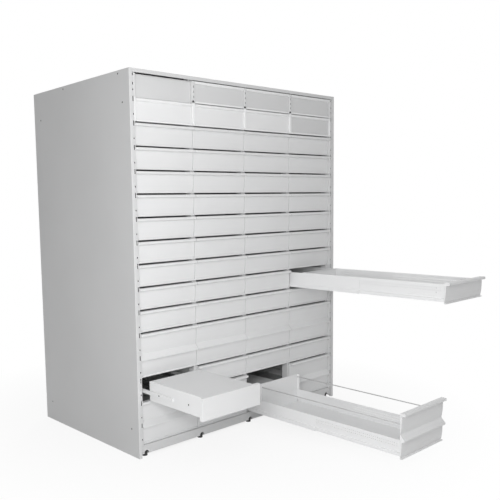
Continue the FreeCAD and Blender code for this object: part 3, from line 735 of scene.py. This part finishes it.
def tray_mesh(name, rim, runner, slot_rows, rear_head=None):
    """Folded tray: floor, widened foot, slotted walls with hemmed rims, and both ends.

    A deep tray's rear wall stands higher than its rim, up to rear_head.
    """
    half = SLOT_HEIGHT / 2
    low = runner[1] + SHEET
    span = [SHEET - TRAY_HALF, TRAY_HALF - SHEET]

    def slotted(a, b, row):
        middle = (a.y + b.y) / 2
        return (row % 2 == 1 and on_wall(a, b)
                and any(abs(middle - level) < half for level in slot_rows))

    form = Form()
    edges = [z for row in slot_rows for z in (row - half, row + half)]
    form.sheet(with_levels(tray_section(rim, runner), edges), slot_stations(), along_y,
               hole=slotted)
    if rear_head:
        wing = [(TRAY_HALF, TRAY_REAR - REAR_WING), (TRAY_HALF, TRAY_REAR),
                (-TRAY_HALF, TRAY_REAR), (-TRAY_HALF, TRAY_REAR - REAR_WING)]
        form.sheet(folded_line(wing, SHEET_TURN), [rim + WING_GAP, rear_head], along_z)
        form.sheet([(TRAY_REAR, low), (TRAY_REAR, rim)], span, along_x)
    else:
        rear = [(TRAY_REAR, low), (TRAY_REAR, rim), (TRAY_REAR - END_FLANGE, rim)]
        form.sheet(folded_line(rear, SHEET_TURN), span, along_x)
    ahead = [(FRONT_REAR + END_FLANGE, rim), (FRONT_REAR, rim), (FRONT_REAR, low)]
    form.sheet(folded_line(ahead, SHEET_TURN), span, along_x)
    return form.mesh(name, [TRAY], thick=FOLDED)


def rods_mesh(name):
    """Two side rods, their ends eased."""
    form = Form()
    length = TRAY_REAR - SHEET - FRONT_REAR
    eased = ROD_RADIUS * 0.9
    line = [(eased, 0), (ROD_RADIUS, ROD_CHAMFER), (ROD_RADIUS, length - ROD_CHAMFER),
            (eased, length)]
    for side in (-ROD_SIDE, ROD_SIDE):
        form.lathe(line, shifted(along_y, side, FRONT_REAR, ROD_HEIGHT))
    return form.mesh(name, [ZINC])


def side_studs(name, places, half, radius, height, material):
    """Heads at places (y, z) on both sides of a piece that is twice half wide."""
    form = Form()
    for side in (-half, half):
        form.studs(places, radius, height, on_side(side))
    return form.mesh(name, [material])


front = front_mesh("drawer_front", ROW - FRONT_HEAD)
deep_front = front_mesh("deep_front", ROW * 2 - FRONT_HEAD, ROW)
tray = tray_mesh("drawer_tray", TRAY_RIM, CLOSED_RUNNER, SLOT_ROWS)
deep_tray = tray_mesh("deep_tray", DEEP_RIM, CLOSED_RUNNER, DEEP_SLOT_ROWS, DEEP_REAR_HEAD)
open_tray = tray_mesh("open_tray", TRAY_RIM, OPEN_RUNNER, SLOT_ROWS)
open_deep_tray = tray_mesh("open_deep_tray", DEEP_RIM, OPEN_RUNNER, DEEP_SLOT_ROWS,
                           DEEP_REAR_HEAD)
rods = rods_mesh("side_rods")
rivets = side_studs("tray_rivets", RIVETS, TRAY_HALF, RIVET_RADIUS, RIVET_HEIGHT, ZINC)


def drawer(node, parts):
    """Put a drawer's detailed pieces where its node is; the first one replaces the node."""
    low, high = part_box(node)
    place = ((low[0] + high[0]) / 2, low[1], low[2] - FRONT_FOOT)
    for number, (name, mesh, slot) in enumerate(parts):
        item = piece("%s_%s" % (node, name), mesh, node, place)
        if number == 0:
            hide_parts(node)


for node in sorted(NODES):
    if node.startswith("drawer_r"):
        drawer(node, [("front", front, "front_paint"), ("tray", tray, "drawer_paint")])
    elif node.startswith("deep_drawer_r"):
        drawer(node, [("front", deep_front, "front_paint"), ("tray", deep_tray, "drawer_paint"),
                      ("rods", rods, "zinc")])

drawer("long_drawer", [("front", front, "front_paint"), ("tray", open_tray, "drawer_paint"),
                       ("rivets", rivets, "zinc")])
drawer("deep_drawer", [("front", deep_front, "front_paint"),
                       ("tray", open_deep_tray, "drawer_paint"), ("rods", rods, "zinc")])


# Worktop: a folded pan behind a plain board.

def worktop_pan():
    """The folded sheet, open below and closed at its rear."""
    form = Form()
    line = folded_line([(TRAY_HALF, PAN_FOOT), (TRAY_HALF, PAN_HEAD), (-TRAY_HALF, PAN_HEAD),
                        (-TRAY_HALF, PAN_FOOT)], PAN_TURN)
    form.sheet(line[::-1], [BOARD_REAR, PAN_REAR], along_y)
    span = [SHEET - TRAY_HALF, TRAY_HALF - SHEET]
    form.sheet([(PAN_REAR, PAN_FOOT), (PAN_REAR, PAN_HEAD - SHEET)], span, along_x)
    return form.mesh("worktop_pan", [WORKTOP], thick=FOLDED)


def worktop_board():
    """The plain board at the front."""
    form = Form()
    loop = rounded_box((BOARD_FACE, FRONT_FOOT), (BOARD_REAR, BOARD_HEAD), BOARD_TURN)
    form.bar(loop, -FRONT_HALF, FRONT_HALF, along_x)
    return form.mesh("worktop_board", [WORKTOP], bevel=BOARD_BEVEL)


def worktop_runners():
    """Runners along the rear of the sides."""
    form = Form()
    broad, low, high, length = TONGUE
    for side in (-1, 1):
        spans = sorted((side * (TRAY_HALF - SHEET / 2), side * broad))
        loop = rounded_box((spans[0], low), (spans[1], high), TONGUE_TURN)
        form.bar(loop, PAN_REAR - length, PAN_REAR, along_y)
    return form.mesh("worktop_runners", [WORKTOP])


low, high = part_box("worktop")
place = ((low[0] + high[0]) / 2, low[1] - BOARD_FACE, low[2] - FRONT_FOOT)
item = piece("worktop_pan", worktop_pan(), "worktop", place)
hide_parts("worktop")
piece("worktop_board", worktop_board(), "worktop", place)
piece("worktop_runners", worktop_runners(), "worktop", place)
screws = side_studs("worktop_screws", WORKTOP_SCREWS, TRAY_HALF, SCREW_RADIUS, SCREW_HEIGHT,
                    DARK_STEEL)
piece("worktop_screws", screws, "worktop", place)

low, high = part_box("worktop_carriage")
place = ((low[0] + high[0]) / 2, low[1], (low[2] + high[2]) / 2)
screws = side_studs("carriage_screws", CARRIAGE_SCREWS, (high[0] - low[0]) / 2, SCREW_RADIUS,
                    SCREW_HEIGHT, DARK_STEEL)
piece("carriage_screws", screws, "worktop_carriage", place)


# Panels of the two upper rows.

def panel_mesh(name, face, sunk, loop, radii):
    """A pan whose edges have the white of a painted highlight, and whose flat face is at the
    depth that sunk gives.
    """
    def flat(a, b):
        return int(abs(a[0] - sunk) < TINY and abs(b[0] - sunk) < TINY)

    form = Form()
    form.bar(turned_corners(loop, radii, 3, True), -PANEL_HALF, PANEL_HALF, along_x, flat)
    return form.mesh(name, [RIM_HIGHLIGHT_WHITE, face], bevel=FINE_BEVEL)


def rimmed_panel(name, face):
    """A panel whose face is sunk between two rims with a painted white highlight."""
    low, high, rear = PANEL_FOOT, PANEL_HEAD, PANEL_REAR
    rim, sunk = RIM_FACE, RIM_FACE + RIM_RECESS
    loop = [(rear, low), (rim, low), (rim, low + LOWER_RIM), (sunk, low + LOWER_RIM),
            (sunk, high - UPPER_RIM), (rim, high - UPPER_RIM), (rim, high), (rear, high)]
    radii = [0, SHEET_TURN, SHEET_TURN, RECESS_TURN, RECESS_TURN, SHEET_TURN, SHEET_TURN, 0]
    return panel_mesh(name, face, sunk, loop, radii)


def blank_panel(name, face):
    """A plain panel, set far back."""
    low, high, rear = PANEL_FOOT, PANEL_HEAD, PANEL_REAR
    loop = [(rear, low), (BLANK_FACE, low), (BLANK_FACE, high), (rear, high)]
    return panel_mesh(name, face, BLANK_FACE, loop, [0, BLANK_TURN, BLANK_TURN, 0])


def cover_mesh(name, half, slots=()):
    """A channel over a post between panels: white as a painted highlight by row 2, grey by row
    1.

    Its slots are all in the upper part, above the joint of the two rows.
    """
    joint = CARCASS_HEAD - ROW
    stations = [CARCASS_HEAD - ROW * 2 + PANEL_FOOT, joint - JOINT_WIDTH, joint]
    for level in sorted(CARCASS_HEAD - drop for drop in slots):
        stations += [level - COVER_SLOT_REACH, level + COVER_SLOT_REACH]
    stations.append(CARCASS_HEAD - (ROW - PANEL_HEAD))
    line = folded_line([(-half, PANEL_REAR), (-half, RIM_FACE), (half, RIM_FACE),
                        (half, PANEL_REAR)], COVER_TURN)
    if slots:
        middle = next(i for i, (a, b) in enumerate(zip(line, line[1:])) if a.x < 0 < b.x)
        line[middle + 1:middle + 1] = [Vector((-COVER_SLOT_HALF, RIM_FACE)),
                                       Vector((COVER_SLOT_HALF, RIM_FACE))]

    def slotted(a, b, row):
        return row > 2 and row % 2 == 1 and abs(a[0] + b[0]) < TINY

    form = Form()
    form.sheet(line, stations, along_z, slotted if slots else None,
               lambda a, b, row: int(row > 1))
    return form.mesh(name, [RIM_HIGHLIGHT_WHITE, PANEL_GREY], thick=FOLDED)


def shade_sheet_mesh():
    """Thin dark sheet behind a cover strip's slots: painted shade for the strip's hollow."""
    form = Form()
    ahead = RIM_FACE + SHEET + SHADE_SHEET_GAP
    rear = ahead + SHADE_SHEET_THICKNESS
    loop = [(-SHADE_SHEET_HALF, ahead), (SHADE_SHEET_HALF, ahead), (SHADE_SHEET_HALF, rear),
            (-SHADE_SHEET_HALF, rear)]
    form.bar(loop, CARCASS_HEAD - COVER_SLOTS[-1] - SHADE_SHEET_MARGIN,
             CARCASS_HEAD - COVER_SLOTS[0] + SHADE_SHEET_MARGIN, along_z)
    return form.mesh("slot_shade_sheet", [SHADE])


def hook_mesh():
    """The black hook on a cover strip, at the joint of the two rows."""
    form = Form()
    foot = CARCASS_HEAD - ROW + HOOK_RISE
    corners = [(x, foot + z) for x, z in HOOK]
    loop = turned_corners(corners, [HOOK_TURN] * len(HOOK), 3, True)
    form.bar(loop, RIM_FACE - HOOK_THICKNESS, RIM_FACE, along_y)
    return form.mesh("panel_hook", [BLACK], bevel=HOOK_BEVEL)


rim_grey = rimmed_panel("rimmed_panel_grey", PANEL_GREY)
rim_light = rimmed_panel("rimmed_panel_light", PANEL_LIGHT)
blank = blank_panel("blank_panel", PANEL_GREY)
cover = cover_mesh("cover_strip", COVER_HALF, COVER_SLOTS)
side_cover = cover_mesh("side_cover_strip", COVER_HALF / 2)
shade_sheet = shade_sheet_mesh()
hook = hook_mesh()

first = None
for column in range(1, COLUMNS + 1):
    for row in (1, 2):
        # Row 2's last panel takes the grey face too: painted shade for the dimmer light at the
        # right end.
        mesh = rim_light if row == 2 and column < COLUMNS else rim_grey
        if row == 1 and column == 1:
            mesh = blank
        place = (COLUMN * (column - 0.5 - COLUMNS / 2), FRONT_PLANE, BASE + ROW * (ROWS - row))
        item = piece("panel_r%d_c%d" % (row, column), mesh, "cabinet", place)
        first = first or item
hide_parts("front_panels")
for line in range(1, COLUMNS):
    place = (COLUMN * (line - COLUMNS / 2), FRONT_PLANE, 0.0)
    piece("cover_strip_%d" % line, cover, "cabinet", place)
    # painted shade: a dark sheet behind the strip's slots
    piece("cover_shade_sheet_%d" % line, shade_sheet, "cabinet", place)
    piece("panel_hook_%d" % line, hook, "cabinet", place)
for side, name in ((-1, "left"), (1, "right")):
    place = (side * (COLUMN * COLUMNS / 2 - COVER_HALF / 2), FRONT_PLANE, 0.0)
    piece("cover_strip_" + name, side_cover, "cabinet", place)


# Carcass.

def front_face(depth):
    """Marks the faces that look forwards; depth is the number of a section's depth axis."""
    return lambda a, b, row: int(max(a[depth], b[depth]) < FACE_DEPTH)


def side_mesh(name, side):
    """Folded side panel: the outer skin and its flanges with their returns."""
    out = OUTER - SKIN
    points = [(MOUTH, FLANGE_RETURN), (MOUTH, 0.0), (out, 0.0), (out, DEPTH), (MOUTH, DEPTH),
              (MOUTH, DEPTH - FLANGE_RETURN)]
    radii = [0, RETURN_TURN, SHEET_TURN, SHEET_TURN, RETURN_TURN, 0]
    line = [Vector((side * p.x, p.y)) for p in turned_corners(points, radii)]
    if side < 0:
        line.reverse()
    form = Form()
    form.sheet(line, [0.0, HEIGHT], shifted(along_z, y=FRONT_PLANE), mark=front_face(1))
    return form.mesh(name, [CARCASS, STRIP], thick=FOLDED)


def top_mesh():
    """Folded top panel between the sides."""
    line = folded_line([(0.0, CARCASS_HEAD), (0.0, HEIGHT), (DEPTH, HEIGHT),
                        (DEPTH, CARCASS_HEAD)], SHEET_TURN)
    form = Form()
    form.sheet(line[::-1], [-MOUTH, MOUTH], shifted(along_x, y=FRONT_PLANE),
               mark=front_face(0))
    return form.mesh("top_sheet", [CARCASS, STRIP], thick=FOLDED)


def back_meshes():
    """A sheet for each column, with open joints and a row of screws beside each edge."""
    sheets, screws = Form(), Form()
    face = BACK_PLANE - SKIN
    edges = [-MOUTH, -COLUMN, 0.0, COLUMN, MOUTH]
    rises = [BACK_SCREW_FIRST + BACK_SCREW_PITCH * k for k in range(BACK_SCREW_COUNT)]
    for left, right in zip(edges, edges[1:]):
        loop = rounded_box((left + BACK_JOINT_HALF, BACK_LOW[2] + BACK_RISE),
                           (right - BACK_JOINT_HALF, BACK_HIGH[2]), BACK_TURN)
        sheets.bar(loop, BACK_LOW[1], face, along_y)
        for x in (left + BACK_SCREW_INSET, right - BACK_SCREW_INSET):
            screws.studs([(x, z) for z in rises], SCREW_RADIUS, SKIN,
                         shifted(along_y, y=face))
    return (sheets.mesh("back_sheets", [CARCASS]), screws.mesh("back_screws", [ZINC]))


for side, name in ((-1, "left"), (1, "right")):
    item = piece(name + "_side_sheet", side_mesh(name + "_side_sheet", side), "cabinet")
    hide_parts(name + "_side_panel")
    form = Form()
    places = [(FRONT_PLANE + y, z) for y, z in SIDE_SCREWS]
    form.studs(places, SCREW_RADIUS, SKIN, on_side(side * (OUTER - SKIN)))
    piece(name + "_side_screws", form.mesh(name + "_side_screws", [DARK_STEEL]), "cabinet")
item = piece("top_sheet", top_mesh(), "cabinet")
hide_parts("top_panel")
back_sheets, back_screws = back_meshes()
item = piece("back_sheets", back_sheets, "cabinet")
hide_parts("back_panel")
piece("back_screws", back_screws, "cabinet")


# Feet: one in the middle, and the others in pairs beside the column lines.

def foot_mesh():
    """A pad, a fluted black body and a zinc stem."""
    form = Form()
    form.lathe(FOOT_LINE, along_z, FOOT_STEPS, fluted=True,
               mark=lambda a, b: int(min(a[1], b[1]) > STEM_LOW))
    return form.mesh("levelling_foot", [BLACK, ZINC])


foot = foot_mesh()
spots = [(0.0, 0.0)]
for line in range(COLUMNS + 1):
    x = COLUMN * (line - COLUMNS / 2) + (FOOT_OFFSET if line * 2 <= COLUMNS else -FOOT_OFFSET)
    spots += [(x, FRONT_PLANE + FOOT_SETBACK), (x, BACK_PLANE - FOOT_SETBACK)]
for number, (x, y) in enumerate(spots):
    item = piece("levelling_foot_%d" % number, foot, "cabinet", (x, y, 0.0))
    if number == 0:
        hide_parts("levelling_feet")


# CAD nodes that stay.

def shade_tubes(posts):
    """Painted shade on the faces inside the side posts' tubes, seen through their strips'
    slots.
    """
    posts.data.materials.append(SHADE)
    for face in posts.data.polygons:
        middle = posts.matrix_world @ face.center
        across = MOUTH - TUBE_WIDTH + TUBE_WALL < abs(middle.x) < MOUTH - TUBE_WALL
        along = FRONT_PLANE + TUBE_FRONT < middle.y < FRONT_PLANE + TUBE_REAR
        upright = abs(face.normal.z) < 0.5
        if across and along and upright:
            face.material_index = 1


for name in ("upright_posts", "base_plinth"):
    dress(name, STRIP)
for name in ("long_drawer_carriage", "deep_drawer_carriage"):
    dress(name, TRAY)
dress("worktop_carriage", WORKTOP)
dress("runner_rails", ZINC)
shade_tubes(NODES["upright_posts"])


# Room: floor, light and camera.

def floor():
    """Pale floor that fades to white away from the cabinet and keeps its shadow.

    The white is shown to background_rays alone, and not under the carcass.
    """
    bpy.ops.mesh.primitive_circle_add(vertices=96, radius=FLOOR_RADIUS, fill_type="NGON")
    ground = bpy.context.object
    ground.name = "floor"
    finish = Finish("floor_white")
    finish.set("Base Color", grey(0.82))
    finish.set("Roughness", 0.9)
    bright = finish.add("ShaderNodeEmission")
    bright.inputs["Color"].default_value = grey(1.0)

    distance = finish.add("ShaderNodeVectorMath", operation="LENGTH")
    finish.link(finish.place, distance.inputs[0])
    fade = finish.spread(distance.outputs["Value"], FADE_SHARE, 1.0, FADE_START, FADE_END)
    parts = finish.add("ShaderNodeSeparateXYZ")
    finish.link(finish.place, parts.inputs[0])
    across = finish.maths("ABSOLUTE", parts.outputs["X"])
    beside = finish.spread(across, 0.0, 1.0, MOUTH, MOUTH + UNDER_SIDE)
    before = finish.spread(parts.outputs["Y"], 0.0, 1.0, FRONT_PLANE + UNDER_FRONT[0],
                           FRONT_PLANE + UNDER_FRONT[1])
    behind = finish.spread(parts.outputs["Y"], 0.0, 1.0, BACK_PLANE - UNDER_BACK, BACK_PLANE)
    open_floor = finish.maths("MAXIMUM", finish.maths("MAXIMUM", beside, before), behind)
    white = finish.maths("MULTIPLY", finish.background_rays(), fade)
    white = finish.maths("MULTIPLY", white, open_floor)

    blend = finish.add("ShaderNodeMixShader")
    for source, socket in zip((white, finish.shader.outputs[0], bright.outputs[0]),
                              blend.inputs):
        finish.link(source, socket)
    finish.link(blend.outputs[0], finish.tree.nodes["Material Output"].inputs["Surface"])
    ground.data.materials.append(finish.material)


def lamp(name, place, target, size, power):
    """A round soft lamp that the camera doesn't see."""
    data = bpy.data.lights.new(name, "AREA")
    data.shape = "DISK"
    data.size = size
    data.energy = power
    item = linked(name, data)
    item.location = place
    item.visible_camera = False
    way = Vector(target) - Vector(place)
    item.rotation_euler = way.to_track_quat("-Z", "Y").to_euler()


def world():
    """White for background_rays, an even dim light for everything else."""
    room = bpy.data.worlds.new("studio")
    room.use_nodes = True
    bpy.context.scene.world = room
    nodes = Nodes(room.node_tree)
    background = nodes.tree.nodes["Background"]
    background.inputs["Color"].default_value = grey(1.0)
    strength = nodes.spread(nodes.background_rays(), AMBIENT, 1.0, start=0.0, end=1.0)
    nodes.link(strength, background.inputs["Strength"])


def camera():
    """The photograph's view: turned, dropped and rolled about the fitted place."""
    heading, drop, roll = CAMERA_HEADING, CAMERA_DROP, CAMERA_ROLL
    ahead = Vector((math.sin(heading) * math.cos(drop), math.cos(heading) * math.cos(drop),
                    -math.sin(drop)))
    level = Vector((math.cos(heading), -math.sin(heading), 0.0))
    above = level.cross(ahead)
    right = level * math.cos(roll) + above * math.sin(roll)
    up = above * math.cos(roll) - level * math.sin(roll)
    data = bpy.data.cameras.new("camera")
    data.sensor_width = SENSOR_MM
    data.lens = FOCAL_PIXELS * SENSOR_MM / IMAGE_PIXELS
    data.shift_x = (IMAGE_PIXELS / 2 - CENTRE_PIXEL[0]) / IMAGE_PIXELS
    data.shift_y = (CENTRE_PIXEL[1] - IMAGE_PIXELS / 2) / IMAGE_PIXELS
    data.clip_end = CLIP_END
    item = linked("camera", data)
    axes = Matrix((right, up, -ahead)).transposed().to_4x4()
    item.matrix_world = Matrix.Translation(CAMERA_PLACE) @ axes
    bpy.context.scene.camera = item


floor()
world()
for settings in LAMPS:
    lamp(*settings)
camera()
bpy.context.scene.view_settings.view_transform = "Standard"
